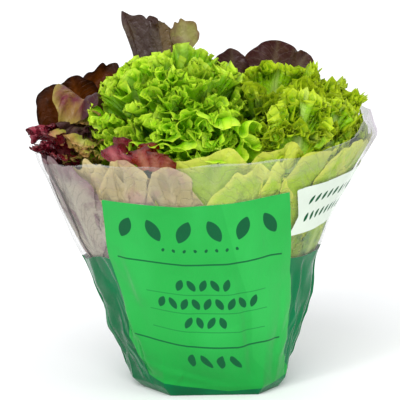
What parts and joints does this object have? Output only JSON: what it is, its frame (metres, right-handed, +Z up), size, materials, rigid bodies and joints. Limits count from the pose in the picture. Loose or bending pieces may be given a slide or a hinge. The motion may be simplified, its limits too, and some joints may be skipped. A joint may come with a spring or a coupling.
{
  "type": "pack of living lettuce",
  "caption": "Flared open film sleeve with a printed green band and panel, filled with growing lettuce: frilly green, toothed curly green and dark red oak-leaf heads standing above its rim.",
  "frame": {"origin": "middle of the sleeve's flat base, on the surface that it stands on", "axes": "+Z up towards the leaves, -Y towards the sleeve's front with the printed panel, +X to the right seen from the front"},
  "size_m": [0.2818, 0.2132, 0.2923],
  "materials": {
    "film": "thin glossy film, clear and milky above, printed dark green below with a light green front panel",
    "green_leaf": "fresh satin leaf, bright green with paler edges",
    "curly_leaf": "fresh satin leaf, yellow-green with pale midribs",
    "red_leaf": "smooth satin leaf, dark red-brown shading to green"
  },
  "bodies": {
    "root": {"film_sleeve": "film", "green_head": "green_leaf", "curly_head": "curly_leaf", "red_head": "red_leaf"}
  },
  "joints": []
}
